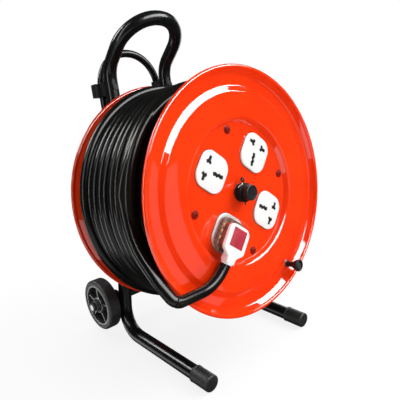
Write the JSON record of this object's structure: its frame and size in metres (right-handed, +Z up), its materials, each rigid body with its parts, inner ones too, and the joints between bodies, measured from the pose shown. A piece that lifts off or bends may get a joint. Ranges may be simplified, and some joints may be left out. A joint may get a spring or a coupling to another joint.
{
  "type": "extension cord reel",
  "caption": "Cable drum with pressed flanges, sockets, winding knob and parked plug, turning on a leaning bent-tube trolley frame with carry loop, pull-out bow and transport wheels.",
  "frame": {"origin": "on the floor, on the reel's centre line, midway between its front and its back", "axes": "+Z up, -Y towards the front where the sockets and the knob are, +X to the right as seen from the front; the drum axle leans, so its front end is higher"},
  "size_m": [0.3671, 0.3187, 0.5268],
  "materials": {
    "black_paint": "gloss black powder coat",
    "steel": "plated steel",
    "black_plastic": "satin moulded plastic",
    "rubber": "matt",
    "cable": "satin cable sheath",
    "tyre": "matt, worn grey at the edges",
    "orange_paint": "gloss red-orange paint",
    "white_body": "satin",
    "white_gloss": "gloss",
    "brass": "stamped brass",
    "clear": "clear moulded shell",
    "label": "plain crimson label"
  },
  "bodies": {
    "frame": {"frame_tube": "black_paint", "foot_caps": "rubber", "axle_plate": "black_paint", "plate_bolts": "steel", "plate_nuts": "steel", "drum_axle": "steel", "axle_nut": "steel", "rear_spacer": "black_plastic", "thrust_washers": "steel", "hub_collar": "black_plastic", "hub_cap": "black_plastic", "split_pin": "steel", "bow_guides": "black_plastic", "guide_bolts": "steel", "axle_brackets": "black_paint", "axle_tube": "black_paint", "wheel_axle": "steel", "wheel_washers": "steel", "wheel_nuts": "steel"},
    "drum": {"front_flange": "orange_paint", "rear_flange": "orange_paint", "barrel": "orange_paint", "tie_bolts": "orange_paint", "tie_nuts": "steel", "drum_bushes": "white_body", "socket_faces": "white_gloss", "socket_bodies": "white_body", "socket_contacts": "brass", "link_wires": "brass", "terminal_block": "white_body", "inlet_cable": "cable", "cable_grommet": "rubber", "cable_pack": "cable", "cable_tail": "cable", "knob_spindle": "steel", "knob_washer": "steel", "knob_nut": "steel"},
    "knob": {"winding_knob": "black_plastic"},
    "plug": {"plug_base": "clear", "plug_cover": "white_gloss", "plug_label": "label", "plug_pins": "brass", "plug_fuse": "steel", "plug_sleeve": "clear"},
    "bow": {"bow_tube": "black_paint", "bow_stops": "black_plastic"},
    "left_wheel": {"wheel_left": "black_plastic", "tyre_left": "tyre"},
    "right_wheel": {"wheel_right": "black_plastic", "tyre_right": "tyre"}
  },
  "joints": [
    {"name": "drum_spin", "type": "hinge", "parent": "frame", "child": "drum", "pos_m": [0, -0.03185, 0.247], "axis": [0, -0.9914, 0.1305], "continuous": true},
    {"name": "knob_spin", "type": "hinge", "parent": "drum", "child": "knob", "pos_m": [0.08384, -0.1463, 0.12462], "axis": [0, -0.9914, 0.1305], "continuous": true},
    {"name": "plug_pull", "type": "slide", "parent": "drum", "child": "plug", "axis": [0, -0.9914, 0.1305], "range_m": [0, 0.026], "deforming": ["cable_tail"]},
    {"name": "bow_slide", "type": "slide", "parent": "frame", "child": "bow", "axis": [0, 0.1305, 0.9914], "range_m": [0, 0.25]},
    {"name": "left_wheel_spin", "type": "hinge", "parent": "frame", "child": "left_wheel", "pos_m": [-0.132, 0.09615, 0.055], "axis": [1, 0, 0], "continuous": true},
    {"name": "right_wheel_spin", "type": "hinge", "parent": "frame", "child": "right_wheel", "pos_m": [0.132, 0.09615, 0.055], "axis": [1, 0, 0], "continuous": true}
  ]
}
